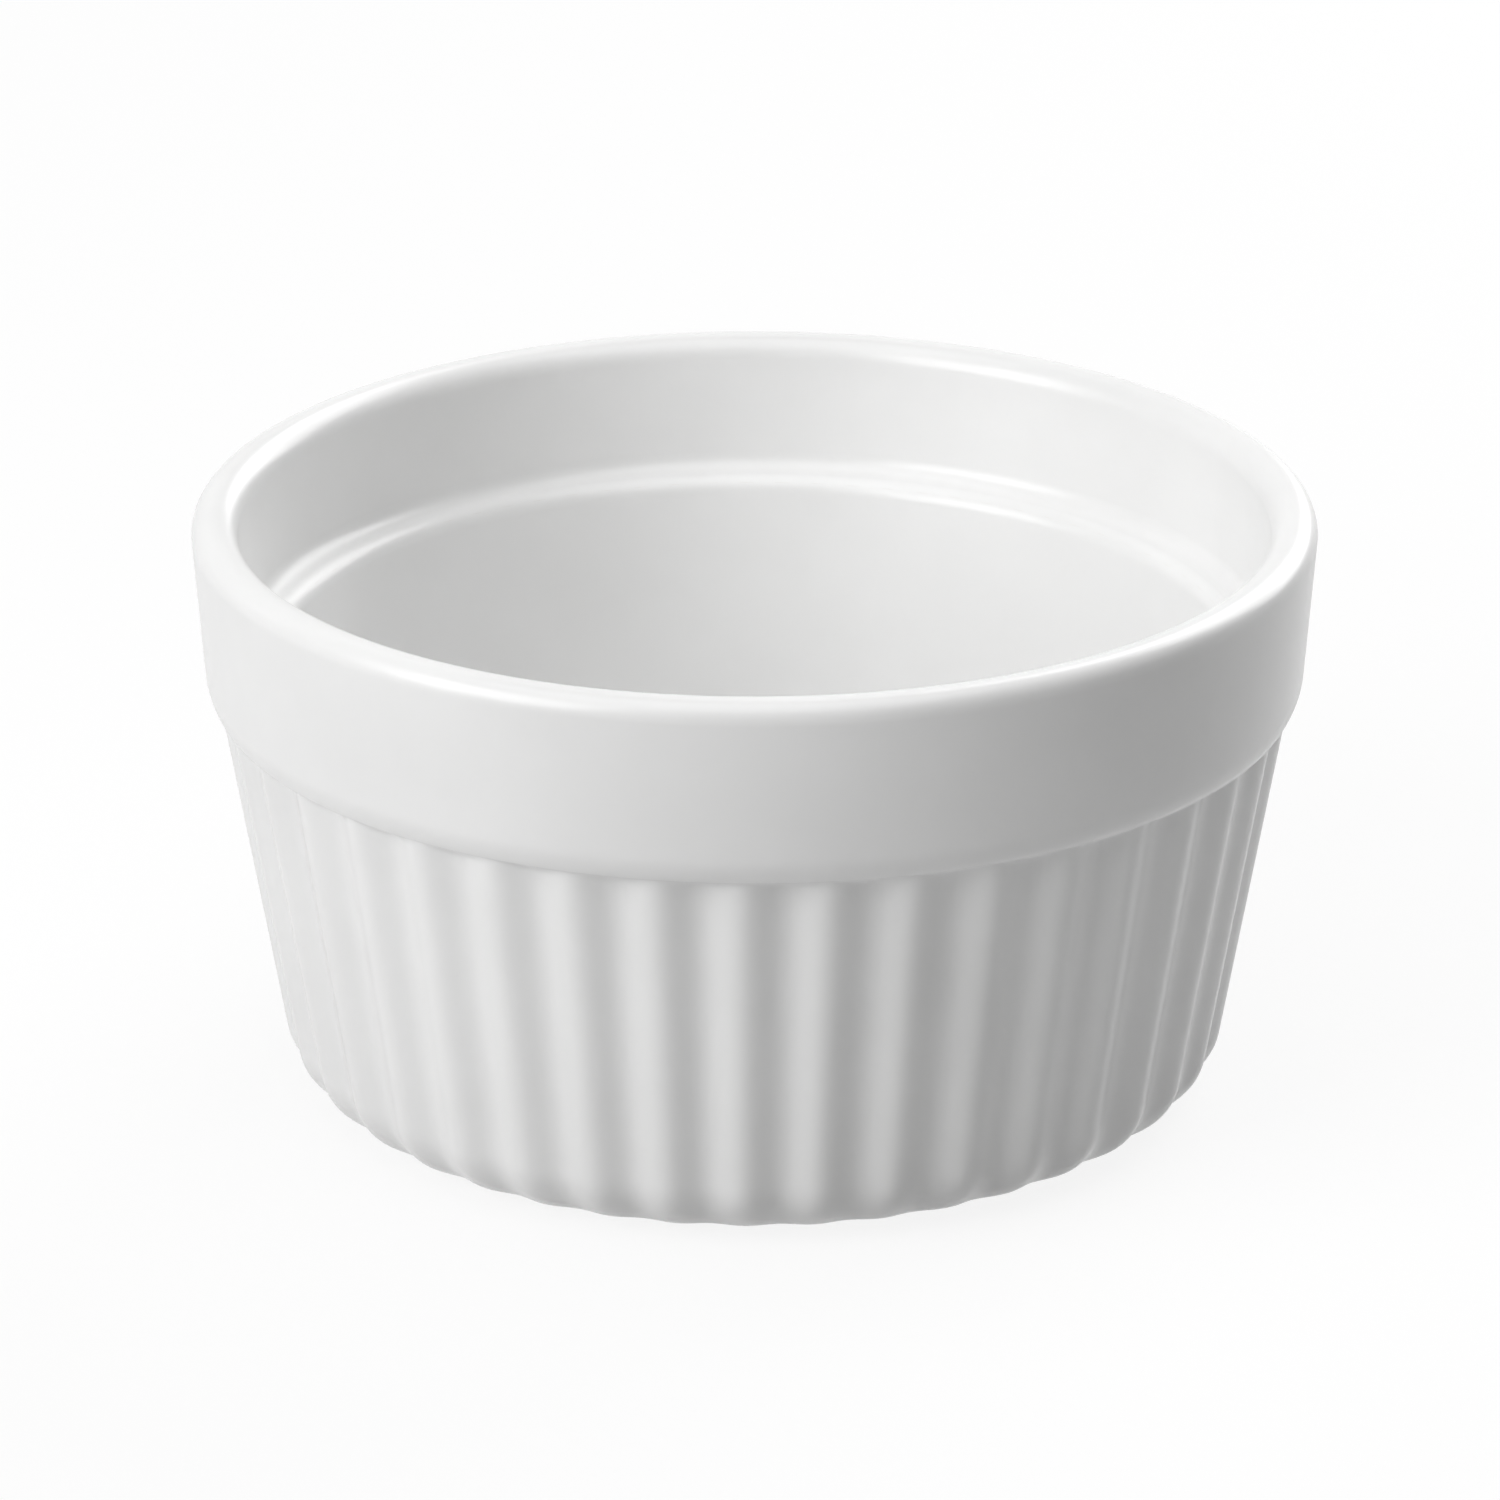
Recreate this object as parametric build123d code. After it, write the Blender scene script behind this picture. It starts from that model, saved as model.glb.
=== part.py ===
"""A fluted white ramekin: the fired clay body, the glaze that coats it and the glazed patch under its base.

Millimetres. The origin is the centre of the foot ring's underside, +Z is up along the dish's axis, and the
crest of one rib lies on the -Y side.
"""
from build123d import *
from math import acos, asin, atan2, cos, hypot, pi, radians, sin, sqrt, tan
import os

os.makedirs("parts", exist_ok=True)

# The whole dish, over the glaze
rim_diameter = 90.0
height = 48.5

# The rim, rounded over on both sides
rim_wall = 3.7
rim_outer_round = 1.6
rim_inner_round = 1.9

# The plain band under the rim, and the shoulder that rounds in to the flutes, a hair over their crests
band_height = 13.0
band_lean_degrees = 4.4
shoulder_height = 2.1
shoulder_round = 3.9
shoulder_lip = 0.25

# The fluted wall and the rounded heel below it, where the flutes run out towards the foot
flute_count = 40
flute_depth = 0.85
flute_top_height = 0.9
base_diameter = 76.6
heel_radius = 6.2
heel_level_shares = (0.0, 0.3, 0.65, 1.0)
heel_depth_shares = (0.1, 0.55, 0.78, 0.9)

# The inside: an upper wall down to the stacking ledge, then a narrower one to the floor
upper_inside_taper = 0.5
ledge_depth = 11.0
ledge_width = 2.6
ledge_fall = 0.4
base_wall = 3.7
floor_thickness = 5.1
floor_round = 6.0

# The unglazed foot ring and the recess inside it
foot_height = 0.4
foot_width = 2.6
foot_margin = 0.5
recess_depth = 1.3
recess_slope_width = 1.0

# The glaze, which lies deeper where it pools in the flutes and in the floor's corner, and the base patch
glaze_thickness = 0.3
glaze_pool = 0.15
clay_floor_round = 3.5
base_glaze_thickness = 0.25
base_glaze_margin = 0.6

# How many straight chords make one rib with its valley, in the glaze and in the clay, and how many steps
# make a rounding
glazed_chords = 6
clay_chords = 2
round_steps = 3
shoulder_steps = 2

# How far a cutting shape runs past what it cuts
overrun = 2.0

# The outside, from those sizes
rim_radius = rim_diameter / 2
rim_centre_radius = rim_radius - rim_outer_round
rim_centre_z = height - rim_outer_round
band_lean = radians(band_lean_degrees)
band_bottom = height - band_height
band_top_radius = rim_centre_radius + rim_outer_round * cos(band_lean)
band_top_z = rim_centre_z - rim_outer_round * sin(band_lean)
band_foot_radius = band_top_radius - (band_top_z - band_bottom) * tan(band_lean)
shoulder_centre_radius = band_foot_radius - shoulder_round * cos(band_lean)
shoulder_centre_z = band_bottom + shoulder_round * sin(band_lean)
neck_z = band_bottom - shoulder_height
shoulder_end = asin((shoulder_centre_z - neck_z) / shoulder_round)
neck_radius = shoulder_centre_radius + shoulder_round * cos(shoulder_end)
flute_top_z = neck_z + flute_top_height
flute_top_radius = shoulder_centre_radius + sqrt(shoulder_round**2 - (shoulder_centre_z - flute_top_z) ** 2)
heel_centre_radius = base_diameter / 2 - heel_radius
heel_centre_z = foot_height + heel_radius

# The inside
mouth_radius = rim_radius - rim_wall
mouth_centre_radius = mouth_radius + rim_inner_round
mouth_centre_z = height - rim_inner_round
ledge_outer_radius = mouth_radius - upper_inside_taper
ledge_outer_z = height - ledge_depth
ledge_inner_radius = ledge_outer_radius - ledge_width
ledge_inner_z = ledge_outer_z - ledge_fall
floor_radius = base_diameter / 2 - base_wall
floor_z = floor_thickness
lower_lean = atan2(ledge_inner_radius - floor_radius, ledge_inner_z - floor_z)

# The underside
foot_outer_radius = heel_centre_radius - foot_margin
foot_inner_radius = foot_outer_radius - foot_width
recess_radius = foot_inner_radius - recess_slope_width


def fluted_ring(crest_radius, z, depth, chords):
    """Points round one level of a wave of ribs and valleys, with a rib's crest on the -Y side."""
    points = []
    for index in range(flute_count * chords):
        angle = 2 * pi * index / (flute_count * chords)
        radius = crest_radius - depth * (1 - cos(flute_count * angle)) / 2
        points.append(Vector(radius * sin(angle), -radius * cos(angle), z))
    return points


def fluted_rings(skin, depth, chords):
    """The levels of the heel and the fluted wall, at a distance skin under the glazed surface."""
    crest_radius = neck_radius - shoulder_lip - skin
    round_radius = heel_radius - skin
    reach_r = crest_radius - heel_centre_radius
    reach_z = neck_z - heel_centre_z
    heel_top = atan2(reach_z, reach_r) - acos(round_radius / hypot(reach_r, reach_z))
    rings = []
    for level_share, depth_share in zip(heel_level_shares, heel_depth_shares):
        angle = -pi / 2 + level_share * (heel_top + pi / 2)
        radius = heel_centre_radius + round_radius * cos(angle)
        z = heel_centre_z + round_radius * sin(angle)
        rings.append(fluted_ring(radius, z, depth_share * depth, chords))
    rings.append(fluted_ring(crest_radius, neck_z, depth, chords))
    return rings


def rounding(centre_radius, centre_z, radius, start, end, steps):
    """Points on an arc of an outline in the XZ plane, where its flat steps meet."""
    angles = [start + (end - start) * index / steps for index in range(steps + 1)]
    return [(centre_radius + radius * cos(angle), 0, centre_z + radius * sin(angle)) for angle in angles]


def floor_corner(skin, corner_round, steps):
    """The rounded corner between the floor and the lower inside wall."""
    centre_radius = floor_radius + skin - corner_round * tan((pi / 2 - lower_lean) / 2)
    return rounding(centre_radius, floor_z - skin + corner_round, corner_round, -pi / 2, -lower_lean, steps)


def turned(outline):
    """The solid that a closed outline in the XZ plane sweeps round the dish's axis."""
    return revolve(make_face(Polyline(*outline, close=True)), Axis.Z)


def flat_sided(rings):
    """A solid closed at its first and last rings, with flat facets from each ring to the next."""
    faces = [Face(Wire(Polyline(*rings[0], close=True))), Face(Wire(Polyline(*rings[-1], close=True)))]
    for near, far in zip(rings, rings[1:]):
        for index, point in enumerate(near):
            after = (index + 1) % len(near)
            faces.append(Face(Wire(Polyline(point, near[after], far[after], close=True))))
            faces.append(Face(Wire(Polyline(point, far[after], far[index], close=True))))
    return Solid(Shell(faces))


def clay_dish():
    """The clay without its foot: up the outside, over the rim and down the inside to the floor.

    The glaze rounds over its facets. They run from rib to valley all the way up, and on the plain parts of
    the dish these sides, two to a rib, lie as near to round as the glazed wall's own chords do.
    """
    skin = glaze_thickness
    rings = fluted_rings(skin, flute_depth + glaze_pool, clay_chords)
    outline = [(flute_top_radius - skin, 0, flute_top_z)]
    outline.append((band_foot_radius - skin, 0, band_bottom))
    outline.append((band_top_radius - skin, 0, band_top_z))
    outline.append(((rim_centre_radius + mouth_centre_radius) / 2, 0, height - skin))
    outline.append((mouth_radius + skin, 0, mouth_centre_z))
    outline.append((ledge_outer_radius + skin, 0, ledge_outer_z - skin))
    outline.append((ledge_inner_radius + skin, 0, ledge_inner_z - skin))
    outline += reversed(floor_corner(skin, clay_floor_round, 1))
    rings += [fluted_ring(radius, z, 0, clay_chords) for radius, _, z in outline]
    return flat_sided(rings)


def glazed_outside():
    """The finished outside, filled solid: the fluted wall, the shoulder, the band and half the rim."""
    rings = fluted_rings(0, flute_depth, glazed_chords)
    levels = [Face(Wire(Polyline(*ring, close=True))) for ring in rings]
    centre = (shoulder_centre_radius, shoulder_centre_z)
    shoulder = rounding(*centre, shoulder_round, -shoulder_end, -band_lean, shoulder_steps)
    rim = rounding(rim_centre_radius, rim_centre_z, rim_outer_round, -band_lean, pi / 2, round_steps)
    band = turned([(0, 0, neck_z)] + shoulder + rim + [(0, 0, height)])
    return loft(levels, ruled=True, clean=False) + band


def glazed_inside():
    """The finished space inside the dish, running out past the rim."""
    outline = [(0, 0, floor_z)] + floor_corner(0, floor_round, round_steps)
    outline.append((ledge_inner_radius, 0, ledge_inner_z))
    outline.append((ledge_outer_radius, 0, ledge_outer_z))
    outline += rounding(mouth_centre_radius, mouth_centre_z, rim_inner_round, pi, pi / 2, round_steps)
    outline.append((mouth_centre_radius, 0, height + overrun))
    outline.append((0, 0, height + overrun))
    return turned(outline)


def foot_disc():
    """The foot ring before the recess is cut, reaching up into the clay of the base."""
    top_z = foot_height + glaze_thickness
    return turned([(0, 0, 0), (foot_outer_radius, 0, 0), (foot_outer_radius, 0, top_z), (0, 0, top_z)])


def recess():
    """The shallow dished space inside the foot ring."""
    slope = recess_slope_width / recess_depth * overrun
    wide = (foot_inner_radius + slope, 0, -overrun)
    return turned([(0, 0, -overrun), wide, (recess_radius, 0, recess_depth), (0, 0, recess_depth)])


def base_glaze():
    """The round patch of glaze on the ceiling of the recess."""
    radius = recess_radius - base_glaze_margin
    bottom_z = recess_depth - base_glaze_thickness
    return turned([(0, 0, bottom_z), (radius, 0, bottom_z), (radius, 0, recess_depth), (0, 0, recess_depth)])


# The clay as it is thrown and ribbed, on a foot that is still solid
clay_form = clay_dish() + foot_disc()

# The glaze: everything between that clay and the finished surface, down to the outer edge of the foot ring
glaze_coat = glazed_outside() - glazed_inside() - clay_form

export_step(clay_form - recess(), "parts/clay_body.step")
export_step(glaze_coat, "parts/glaze_coat.step")
export_step(base_glaze(), "parts/base_glaze.step")
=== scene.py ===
# %% [markdown]
# # A fluted white ramekin
#
# The dish is one piece of fired clay under a coat of clear, glossy glaze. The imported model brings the
# clay, the coat and the small patch of glaze under the base, at their real size and place. This lesson
# gives them their finished look: the coat gets its round rim, soft ribs and shoulder as one smooth mesh,
# and then come the two materials, the floor, the light and the camera.

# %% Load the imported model
import bmesh
import bpy
from math import acos, asin, atan2, cos, hypot, pi, radians, sin, tan
from mathutils import Matrix, Vector


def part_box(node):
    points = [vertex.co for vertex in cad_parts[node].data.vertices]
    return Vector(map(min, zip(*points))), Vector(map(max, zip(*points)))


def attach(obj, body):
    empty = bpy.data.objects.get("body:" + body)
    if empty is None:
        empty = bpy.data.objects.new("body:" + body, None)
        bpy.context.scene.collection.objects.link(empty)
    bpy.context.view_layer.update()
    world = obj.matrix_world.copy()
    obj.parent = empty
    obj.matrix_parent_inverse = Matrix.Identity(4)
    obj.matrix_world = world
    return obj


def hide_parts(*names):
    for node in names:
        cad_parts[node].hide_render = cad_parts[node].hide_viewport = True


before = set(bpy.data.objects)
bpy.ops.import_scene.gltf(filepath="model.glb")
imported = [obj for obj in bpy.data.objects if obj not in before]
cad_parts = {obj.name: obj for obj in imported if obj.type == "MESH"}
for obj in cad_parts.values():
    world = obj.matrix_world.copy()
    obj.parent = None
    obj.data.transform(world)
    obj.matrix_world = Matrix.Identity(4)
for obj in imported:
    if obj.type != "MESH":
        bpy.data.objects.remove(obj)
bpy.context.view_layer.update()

# %% [markdown]
# ## Sizes
#
# Blender works in metres, so a size in millimetres is a number times `mm`. The outermost radius, the
# height and the foot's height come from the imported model. The rest are the dish's own sizes, the same as
# in the model that was packed, with the finer roundings that only the finished surface shows.

# %% Sizes of the dish
mm = 0.001
coat_low, coat_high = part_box("glaze_coat")
patch_low, patch_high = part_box("base_glaze")

height = coat_high.z
rim_radius = min(coat_high.x, coat_high.y, -coat_low.x, -coat_low.y)
foot_height = coat_low.z

rim_wall = 3.7 * mm
rim_outer_round = 1.6 * mm
rim_inner_round = 1.9 * mm

band_height = 13.0 * mm
band_lean = radians(4.4)
shoulder_height = 2.1 * mm
shoulder_round = 3.9 * mm
shoulder_lip = 0.25 * mm
neck_round = 0.12 * mm

flute_count = 40
flute_depth = 0.85 * mm
flute_top_height = 0.9 * mm
base_radius = 38.3 * mm
heel_radius = 6.2 * mm
foot_share = 0.1
heel_top_share = 0.9
foot_margin = 0.5 * mm

upper_inside_taper = 0.5 * mm
ledge_depth = 11.0 * mm
ledge_width = 2.6 * mm
ledge_fall = 0.4 * mm
ledge_outer_round = 1.5 * mm
ledge_inner_round = 1.5 * mm
base_wall = 3.7 * mm
floor_thickness = 5.1 * mm
floor_round = 6.0 * mm

print("height", round(height / mm, 2), "mm, rim radius", round(rim_radius / mm, 2), "mm")

# %% [markdown]
# ## The camera
#
# The dish stands a little below the lens: its mouth shows as a flat ellipse, and the picture is taken
# from some way off with a long lens, so that the far side is hardly smaller than the near one. Placing
# the camera first means that every later look at the dish is a look from the right place. It stands a
# little to one side of the rib that faces -Y, which puts the ribs where they are seen.

# %% Camera
image_width = 1500
camera_elevation = radians(21.25)
camera_turn = radians(1.24)
camera_distance = 720 * mm
pixels_per_rim_radius = 556.8
aim_left = 0.37 * mm
aim_height = 27.5 * mm

camera_data = bpy.data.cameras.new("camera")
camera = bpy.data.objects.new("camera", camera_data)
bpy.context.scene.collection.objects.link(camera)
bpy.context.scene.camera = camera
camera_data.sensor_width = 36.0
lens_in_image_widths = pixels_per_rim_radius * camera_distance / rim_radius / image_width
camera_data.lens = lens_in_image_widths * camera_data.sensor_width
camera_data.clip_start = 10 * mm
camera_data.clip_end = 10.0
turn = Matrix.Rotation(camera_turn, 3, "Z")
towards_camera = turn @ Vector((0, -cos(camera_elevation), sin(camera_elevation)))
camera.location = turn @ Vector((-aim_left, 0, aim_height)) + towards_camera * camera_distance
camera.rotation_euler = towards_camera.to_track_quat("Z", "Y").to_euler()
print("lens", round(camera_data.lens, 1), "mm, at", round(camera_distance, 2), "m")

# %% [markdown]
# ## Drawing an outline
#
# A thrown or pressed dish is round, so its shape is one outline turned about the upright axis. The
# outline could be typed as a long list of points, but a potter's template has only corners and roundings,
# and so has this one: each corner is a point with a radius, and the `bevel` operator rounds it, as a file
# rounds the corner of a template. The width that `bevel` takes off each side of a corner is its radius
# times the tangent of half the turn there.

# %% Helpers that draw an outline, spin it and finish a piece
merge_distance = 0.001 * mm


def rounded_outline(mesh, corners):
    """Draws corners, given as (distance from the axis, height, rounding, segments), and rounds them."""
    points = [mesh.verts.new((radius, 0, z)) for radius, z, _, _ in corners]
    for first, second in zip(points, points[1:]):
        mesh.edges.new((first, second))
    places = [point.co.copy() for point in points]
    for index in range(1, len(points) - 1):
        rounding, segments = corners[index][2:]
        if rounding:
            turn = (places[index] - places[index - 1]).angle(places[index + 1] - places[index])
            bmesh.ops.bevel(mesh, geom=[points[index]], affect="VERTICES", offset_type="OFFSET",
                            offset=rounding * tan(turn / 2), segments=segments, profile=0.5, material=-1)


def spin_round(mesh, steps):
    """Turns everything in the mesh once round the upright axis, and closes the seam and the poles."""
    bmesh.ops.spin(mesh, geom=mesh.verts[:] + mesh.edges[:], cent=(0, 0, 0), axis=(0, 0, 1), dvec=(0, 0, 0),
                   angle=2 * pi, steps=steps, use_merge=True, use_duplicate=False)
    bmesh.ops.remove_doubles(mesh, verts=mesh.verts[:], dist=merge_distance)
    bmesh.ops.recalc_face_normals(mesh, faces=mesh.faces[:])


def finish_piece(mesh, name, material, stands_for):
    """Makes an object of a mesh, smooth and in place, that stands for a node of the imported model."""
    data = bpy.data.meshes.new(name)
    mesh.to_mesh(data)
    mesh.free()
    piece = bpy.data.objects.new(name, data)
    bpy.context.scene.collection.objects.link(piece)
    data.polygons.foreach_set("use_smooth", [True] * len(data.polygons))
    data.materials.append(material)
    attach(piece, "root")
    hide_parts(stands_for)
    return piece


print("points closer than", merge_distance / mm, "mm are merged")

# %% [markdown]
# ## The glaze
#
# Fired glaze is a layer of glass over white clay. It is smooth but not flat: it sags a little as it
# melts, so reflections in it waver, and here and there a grain of iron in the clay burns through as a
# fine dark speck. One Principled shader gives the white under a soft gloss. A broad, low bump bends the
# reflections and a fine one gives them a faint orange peel, and both are kept so shallow that they show
# only in the gloss.

# %% A helper for material nodes
def add_node(material, kind, **settings):
    """Adds a node; a setting named after an input sets that input, and any other sets the node itself."""
    node = material.node_tree.nodes.new(kind)
    for name, value in settings.items():
        socket = node.inputs.get(name.replace("_", " "))
        if socket is None:
            setattr(node, name, value)
        else:
            socket.default_value = value
    return node


def new_material(name):
    """A material with a Principled shader, and that shader."""
    material = bpy.data.materials.new(name)
    material.use_nodes = True
    return material, material.node_tree.nodes["Principled BSDF"]


print("materials before the first is made:", len(bpy.data.materials))

# %% Glaze material
glaze, gloss = new_material("white_glaze")
link = glaze.node_tree.links.new
place = add_node(glaze, "ShaderNodeTexCoord")

cloud = add_node(glaze, "ShaderNodeTexNoise", Scale=60.0, Detail=3.0)
whites = add_node(glaze, "ShaderNodeValToRGB")
whites.color_ramp.elements[0].position = 0.35
whites.color_ramp.elements[0].color = (0.835, 0.835, 0.832, 1)
whites.color_ramp.elements[1].position = 0.65
whites.color_ramp.elements[1].color = (0.865, 0.865, 0.862, 1)
link(place.outputs["Object"], cloud.inputs["Vector"])
link(cloud.outputs["Fac"], whites.inputs["Fac"])

grain = add_node(glaze, "ShaderNodeTexVoronoi", Scale=70.0)
specks = add_node(glaze, "ShaderNodeValToRGB")
specks.color_ramp.elements[0].position = 0.006
specks.color_ramp.elements[0].color = (0.5, 0.48, 0.45, 1)
specks.color_ramp.elements[1].position = 0.018
specks.color_ramp.elements[1].color = (1, 1, 1, 1)
speckled = add_node(glaze, "ShaderNodeMixRGB", blend_type="MULTIPLY", Fac=1.0)
link(place.outputs["Object"], grain.inputs["Vector"])
link(grain.outputs["Distance"], specks.inputs["Fac"])
link(whites.outputs["Color"], speckled.inputs["Color1"])
link(specks.outputs["Color"], speckled.inputs["Color2"])
link(speckled.outputs["Color"], gloss.inputs["Base Color"])

sag = add_node(glaze, "ShaderNodeTexNoise", Scale=45.0, Detail=1.0)
peel = add_node(glaze, "ShaderNodeTexNoise", Scale=900.0, Detail=1.0)
sag_bump = add_node(glaze, "ShaderNodeBump", Strength=1.0, Distance=0.03 * mm)
peel_bump = add_node(glaze, "ShaderNodeBump", Strength=1.0, Distance=0.0006 * mm)
link(place.outputs["Object"], sag.inputs["Vector"])
link(place.outputs["Object"], peel.inputs["Vector"])
link(sag.outputs["Fac"], sag_bump.inputs["Height"])
link(peel.outputs["Fac"], peel_bump.inputs["Height"])
link(sag_bump.outputs["Normal"], peel_bump.inputs["Normal"])
link(peel_bump.outputs["Normal"], gloss.inputs["Normal"])

gloss.inputs["Roughness"].default_value = 0.27
gloss.inputs["IOR"].default_value = 1.5
print("glaze nodes:", len(glaze.node_tree.nodes))

# %% [markdown]
# ## The bare clay
#
# The foot ring is wiped clean before firing, because glaze would weld the dish to the kiln shelf. Fired
# clay is matt, a shade warmer and darker than the glaze, and gritty where it stands on the shelf. The
# packed clay has the right shape already, so it only needs the material: a mottled colour and a fine
# bump, with no gloss.

# %% Clay material
clay, matt = new_material("fired_clay")
link = clay.node_tree.links.new
place = add_node(clay, "ShaderNodeTexCoord")
mottle = add_node(clay, "ShaderNodeTexNoise", Scale=400.0, Detail=6.0)
clays = add_node(clay, "ShaderNodeValToRGB")
clays.color_ramp.elements[0].position = 0.3
clays.color_ramp.elements[0].color = (0.60, 0.57, 0.52, 1)
clays.color_ramp.elements[1].position = 0.7
clays.color_ramp.elements[1].color = (0.74, 0.71, 0.66, 1)
grit = add_node(clay, "ShaderNodeTexNoise", Scale=3000.0, Detail=3.0)
grit_bump = add_node(clay, "ShaderNodeBump", Strength=0.6, Distance=0.05 * mm)
link(place.outputs["Object"], mottle.inputs["Vector"])
link(place.outputs["Object"], grit.inputs["Vector"])
link(mottle.outputs["Fac"], clays.inputs["Fac"])
link(clays.outputs["Color"], matt.inputs["Base Color"])
link(grit.outputs["Fac"], grit_bump.inputs["Height"])
link(grit_bump.outputs["Normal"], matt.inputs["Normal"])
matt.inputs["Roughness"].default_value = 0.85

clay_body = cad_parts["clay_body"]
clay_body.data.materials.clear()
clay_body.data.materials.append(clay)
print("clay nodes:", len(clay.node_tree.nodes))

# %% [markdown]
# ## Where the parts of the coat's outline meet
#
# Two straight lines make most of the outside: the ribbed wall and the band. Between them the shoulder is
# an arc that leaves the band without a kink and ends just over the ribs' crests, at the neck. The heel,
# where the wall turns under to the foot, is an arc too, so the wall's lean is that of the one line from
# the neck that just touches it. A rounded corner is given by the point where its two sides would cross,
# for the rim and the shoulder alike.

# %% Corners of the outline
rim_corner_radius = rim_radius - rim_outer_round + rim_outer_round * (1 / cos(band_lean) + tan(band_lean))
band_bottom = height - band_height
band_foot_radius = rim_corner_radius - band_height * tan(band_lean)
neck_z = band_bottom - shoulder_height
shoulder_end = asin(sin(band_lean) + shoulder_height / shoulder_round)
neck_radius = band_foot_radius - shoulder_round * (cos(band_lean) - cos(shoulder_end))
shoulder_reach = shoulder_round * tan((shoulder_end - band_lean) / 2)
wall_top_radius = neck_radius - shoulder_lip
heel_centre_radius = base_radius - heel_radius
heel_centre_z = foot_height + heel_radius
reach_r = wall_top_radius - heel_centre_radius
reach_z = neck_z - heel_centre_z
heel_top = atan2(reach_z, reach_r) - acos(heel_radius / hypot(reach_r, reach_z))
heel_top_z = heel_centre_z + heel_radius * sin(heel_top)
wall_slope = tan(-heel_top)
foot_radius = heel_centre_radius - foot_margin

mouth_radius = rim_radius - rim_wall
inside_slope = upper_inside_taper / (ledge_depth - rim_inner_round)
mouth_corner_radius = mouth_radius + inside_slope * rim_inner_round
ledge_outer_radius = mouth_radius - upper_inside_taper
ledge_inner_radius = ledge_outer_radius - ledge_width
ledge_z = height - ledge_depth
floor_radius = base_radius - base_wall
floor_z = floor_thickness
print("wall leans out", round(-heel_top * 180 / pi, 1), "degrees")

# %% [markdown]
# ## The glaze coat
#
# The coat covers the fluted outside, the band, the rim and the whole inside. Its outline is spun once
# round the axis, with the same number of steps in every rib. Carving forty ribs one by one would be slow
# and uneven, so they are pressed in afterwards: each point of the wall moves towards the axis by a cosine
# of its angle. How deep it goes is stored on the outline before the spin, and the spin copies that all
# round.

# %% Outline of the coat
coat = bmesh.new()
depth_layer = coat.verts.layers.float.new("flute_share")
flute_top_z = neck_z - flute_top_height
slack = 0.01 * mm
edge_height = 0.2 * mm
edge_reach = 0.05 * mm
edge_round = 0.15 * mm
rounded_outline(coat, [
    (foot_radius, foot_height + edge_height, 0, 0),
    (foot_radius + edge_reach, foot_height, edge_round, 3),
    (wall_top_radius - (neck_z - foot_height) * wall_slope, foot_height, heel_radius, 14),
    (wall_top_radius - flute_top_height * wall_slope, flute_top_z, 0, 0),
    (wall_top_radius, neck_z, 0, 0),
    (neck_radius, neck_z, neck_round, 3),
    (band_foot_radius - shoulder_reach * sin(band_lean), band_bottom - shoulder_reach * cos(band_lean),
     shoulder_round, 8),
    (rim_corner_radius, height, rim_outer_round, 12),
    (mouth_corner_radius, height, rim_inner_round, 12),
    (ledge_outer_radius, ledge_z, ledge_outer_round, 6),
    (ledge_inner_radius, ledge_z - ledge_fall, ledge_inner_round, 6),
    (floor_radius, floor_z, floor_round, 10),
    (0, floor_z, 0, 0),
])
flute_tops = [edge for edge in coat.edges
              if abs(edge.verts[0].co.z - edge.verts[1].co.z) > flute_top_height / 2
              and all(flute_top_z - slack < vert.co.z < neck_z + slack and vert.co.x > ledge_outer_radius
                      for vert in edge.verts)]
bmesh.ops.subdivide_edges(coat, edges=flute_tops, cuts=6)
print("outline points:", len(coat.verts))

# %% [markdown]
# The flutes start as a trace at the foot, deepen quickly round the heel, and then slowly up the wall as
# it widens. At the top each ends in a small round hollow under the shoulder, a quarter of an oval in
# section.

# %% How deep the flutes are along the outline
for point in coat.verts:
    outside = point.co.x > heel_centre_radius and point.co.z < neck_z
    on_wall = point.co.x > wall_top_radius - (neck_z - point.co.z) * wall_slope - heel_radius / 2
    if outside and (on_wall or point.co.z < floor_z):
        into_top = max(0.0, (point.co.z - flute_top_z) / flute_top_height)
        heel_angle = atan2(point.co.z - heel_centre_z, point.co.x - heel_centre_radius)
        up_heel = (heel_angle + pi / 2) / (heel_top + pi / 2)
        heel_share = foot_share + (heel_top_share - foot_share) * sin(pi / 2 * min(1.0, up_heel))
        up_wall = max(0.0, (point.co.z - heel_top_z) / (neck_z - heel_top_z))
        wall_share = heel_share + (1 - heel_top_share) * up_wall
        point[depth_layer] = wall_share * (1 - min(1.0, into_top) ** 2) ** 0.5
print("outline points with flutes:", sum(point[depth_layer] > 0 for point in coat.verts))

# %% [markdown]
# The spin makes the smooth dish, and then each point of a flute is moved straight towards the axis. With
# twelve steps to a rib, the wave of crest and valley is drawn finely enough to shade smoothly.

# %% Spin the coat and press in the flutes
steps_per_flute = 12
spin_round(coat, flute_count * steps_per_flute)
for point in coat.verts:
    if point[depth_layer] > 0:
        angle = atan2(point.co.x, -point.co.y)
        radius = hypot(point.co.x, point.co.y)
        inwards = flute_depth * point[depth_layer] * (1 - cos(flute_count * angle)) / 2
        point.co.xy *= 1 - inwards / radius
print("coat faces:", len(coat.faces))
glaze_coat = finish_piece(coat, "glaze_coat_surface", glaze, "glaze_coat")

# %% [markdown]
# The coat is a shell, so its surface gets a thickness inwards with the Solidify modifier. It stays a
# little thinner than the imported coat, so that its inner side keeps clear of the clay.

# %% Thickness of the coat
shell = glaze_coat.modifiers.new("thickness", "SOLIDIFY")
coat_thickness = 0.2 * mm
shell.thickness = coat_thickness
shell.offset = -1
print("coat thickness:", round(shell.thickness / mm, 3), "mm")

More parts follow.
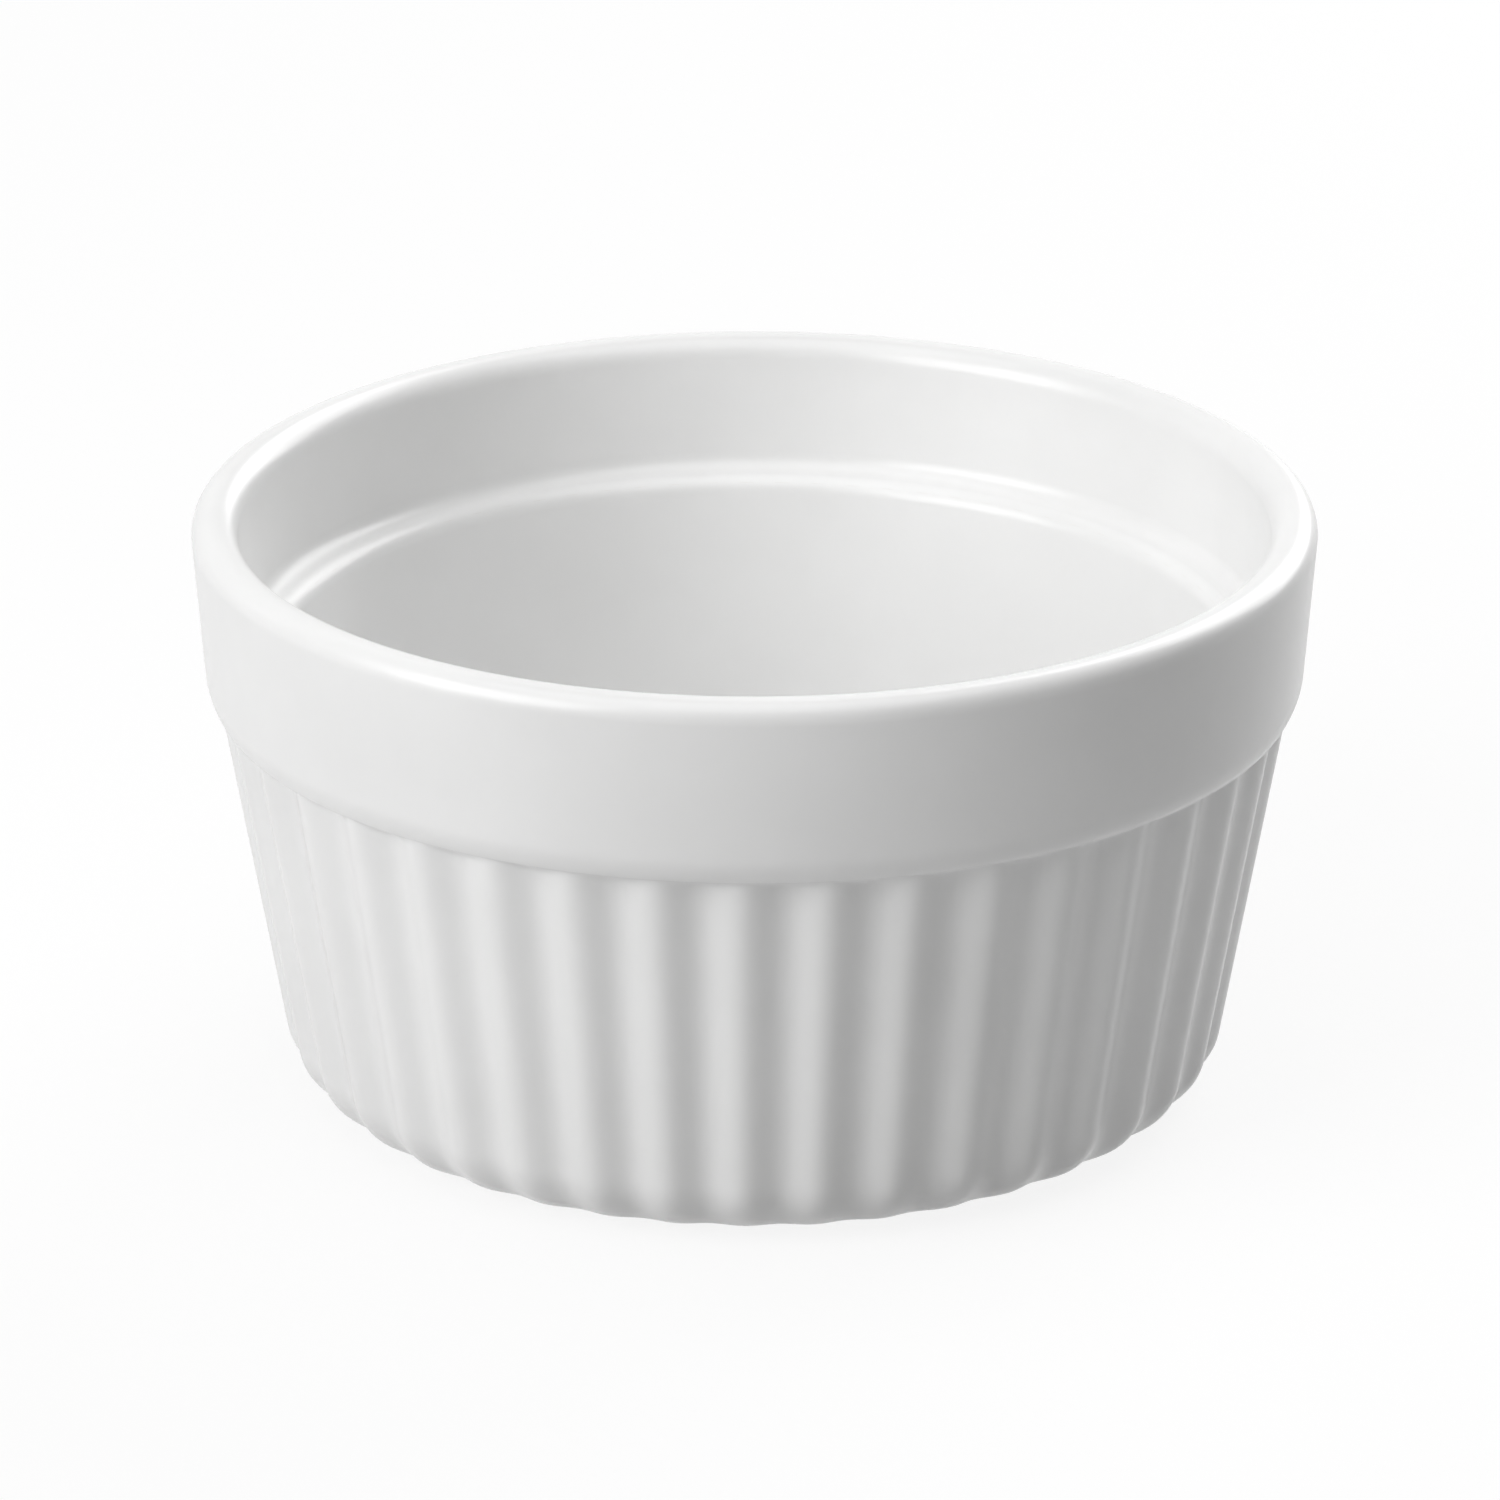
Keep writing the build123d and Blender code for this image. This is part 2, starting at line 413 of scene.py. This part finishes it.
# %% [markdown]
# ## The patch under the base
#
# The recess inside the foot ring is glazed too, in a patch of its own. Surface tension rounds its edge
# over, so its outline is a thin plate with one rounded corner, spun like the coat.

# %% Base glaze
patch = bmesh.new()
patch_round = 0.2 * mm
patch_steps = 160
rounded_outline(patch, [
    (0, patch_high.z, 0, 0),
    (patch_high.x, patch_high.z, 0, 0),
    (patch_high.x, patch_low.z, patch_round, 4),
    (0, patch_low.z, 0, 0),
])
spin_round(patch, patch_steps)
base_glaze = finish_piece(patch, "base_glaze_surface", glaze, "base_glaze")
print("patch faces:", len(base_glaze.data.polygons))

# %% [markdown]
# ## The floor
#
# The dish stands on a sweep of white paper, which lies flat in front and curves up into a wall behind.
# The paper lights the underside of the ribs, and the wall shows in the gloss of the rim. A sweep lit to
# pure white would need lamps that burn out the dish, so to the camera and to the gloss the paper glows
# faintly by itself, just enough to reach white, and it still takes the dish's soft shadow.
#
# A sweep is a sheet with one bend, so it is a flat grid whose far edge is extruded upwards, and the bevel
# of the edge between the two makes the curve.

# %% Sweep
sweep_width = 6.0
sweep_behind = 1.2
sweep_height = 2.0
sweep_bend = 0.5

sheet = bmesh.new()
bmesh.ops.create_grid(sheet, x_segments=1, y_segments=1, size=sweep_width / 2)
bmesh.ops.translate(sheet, vec=(0, sweep_behind - sweep_width / 2, 0), verts=sheet.verts[:])
fold = [edge for edge in sheet.edges if all(vert.co.y > sweep_behind / 2 for vert in edge.verts)]
wall = bmesh.ops.extrude_edge_only(sheet, edges=fold)["geom"]
wall_top = [part for part in wall if isinstance(part, bmesh.types.BMVert)]
bmesh.ops.translate(sheet, vec=(0, 0, sweep_height), verts=wall_top)
bmesh.ops.bevel(sheet, geom=fold, affect="EDGES", offset=sweep_bend, segments=16, profile=0.5, material=-1)
bmesh.ops.recalc_face_normals(sheet, faces=sheet.faces[:])
sheet_data = bpy.data.meshes.new("floor")
sheet.to_mesh(sheet_data)
sheet.free()
sheet_data.polygons.foreach_set("use_smooth", [True] * len(sheet_data.polygons))
floor = bpy.data.objects.new("floor", sheet_data)
bpy.context.scene.collection.objects.link(floor)
print("sweep faces:", len(sheet_data.polygons))

# %% [markdown]
# The paper is a matt grey that takes the shadow, mixed with a glow that only the camera and the gloss can
# see. Its own colour is kept low, so that little light bounces from it into the dark side of the ribs.

# %% Paper material
paper, paper_shader = new_material("white_paper")
link = paper.node_tree.links.new
paper_shader.inputs["Base Color"].default_value = (0.53, 0.53, 0.53, 1)
paper_shader.inputs["Roughness"].default_value = 0.9
paper_shader.inputs["Specular IOR Level"].default_value = 0.0
glow = add_node(paper, "ShaderNodeEmission", Strength=1.1)
mix = add_node(paper, "ShaderNodeMixShader")
path = add_node(paper, "ShaderNodeLightPath")
seen = add_node(paper, "ShaderNodeMath", operation="MAXIMUM")
faint = add_node(paper, "ShaderNodeMath", operation="MULTIPLY")
glow_share = 0.8
faint.inputs[1].default_value = glow_share
link(path.outputs["Is Camera Ray"], seen.inputs[0])
link(path.outputs["Is Glossy Ray"], seen.inputs[1])
link(seen.outputs[0], faint.inputs[0])
link(faint.outputs[0], mix.inputs["Fac"])
link(paper_shader.outputs[0], mix.inputs[1])
link(glow.outputs[0], mix.inputs[2])
link(mix.outputs[0], paper.node_tree.nodes["Material Output"].inputs["Surface"])
floor.data.materials.append(paper)
print("paper nodes:", len(paper.node_tree.nodes))

# %% [markdown]
# ## The light
#
# A ribbed white dish is lit from one side, so that each rib has a bright flank and a grey one. A broad
# soft lamp stands to the left, in front and low, and gives the outside its long fade from left to right.
# A wider one hangs overhead: it brightens the rim's flat top and looks down into the bowl, but it slides
# past the upright walls. A third stands behind on the right, where it lights the far wall's inside and
# draws a thin bright edge on the ribs at the right. The room itself is almost dark, so that the paper is
# the only fill. The lamps are weak enough that the glaze renders about as it is written, and only narrow
# highlights along the rim and the ledge reach pure white.

# %% World and lamps
bpy.context.scene.view_settings.view_transform = "Standard"
world = bpy.data.worlds.new("studio")
bpy.context.scene.world = world
world.use_nodes = True
world.node_tree.nodes["Background"].inputs["Color"].default_value = (1, 1, 1, 1)
world.node_tree.nodes["Background"].inputs["Strength"].default_value = 0.05


def soft_lamp(name, azimuth, elevation, distance, width, tall, power):
    """A rectangular lamp aimed at the dish; azimuth 0 is the camera's side and 90 is the right."""
    data = bpy.data.lights.new(name, "AREA")
    data.shape = "RECTANGLE"
    data.size = width
    data.size_y = tall
    data.energy = power
    lamp = bpy.data.objects.new(name, data)
    bpy.context.scene.collection.objects.link(lamp)
    aim = Vector((sin(radians(azimuth)) * cos(radians(elevation)),
                  -cos(radians(azimuth)) * cos(radians(elevation)),
                  sin(radians(elevation))))
    lamp.location = Vector((0, 0, height / 2)) + aim * distance
    lamp.rotation_euler = aim.to_track_quat("Z", "Y").to_euler()


soft_lamp("left_softbox", azimuth=-54, elevation=26, distance=0.8, width=0.6, tall=0.6, power=4.7)
soft_lamp("top_softbox", azimuth=0, elevation=80, distance=0.8, width=0.8, tall=0.8, power=3.8)
soft_lamp("back_right_softbox", azimuth=145, elevation=30, distance=0.8, width=0.6, tall=0.6, power=4.3)
print("lamps:", len(bpy.data.lights))
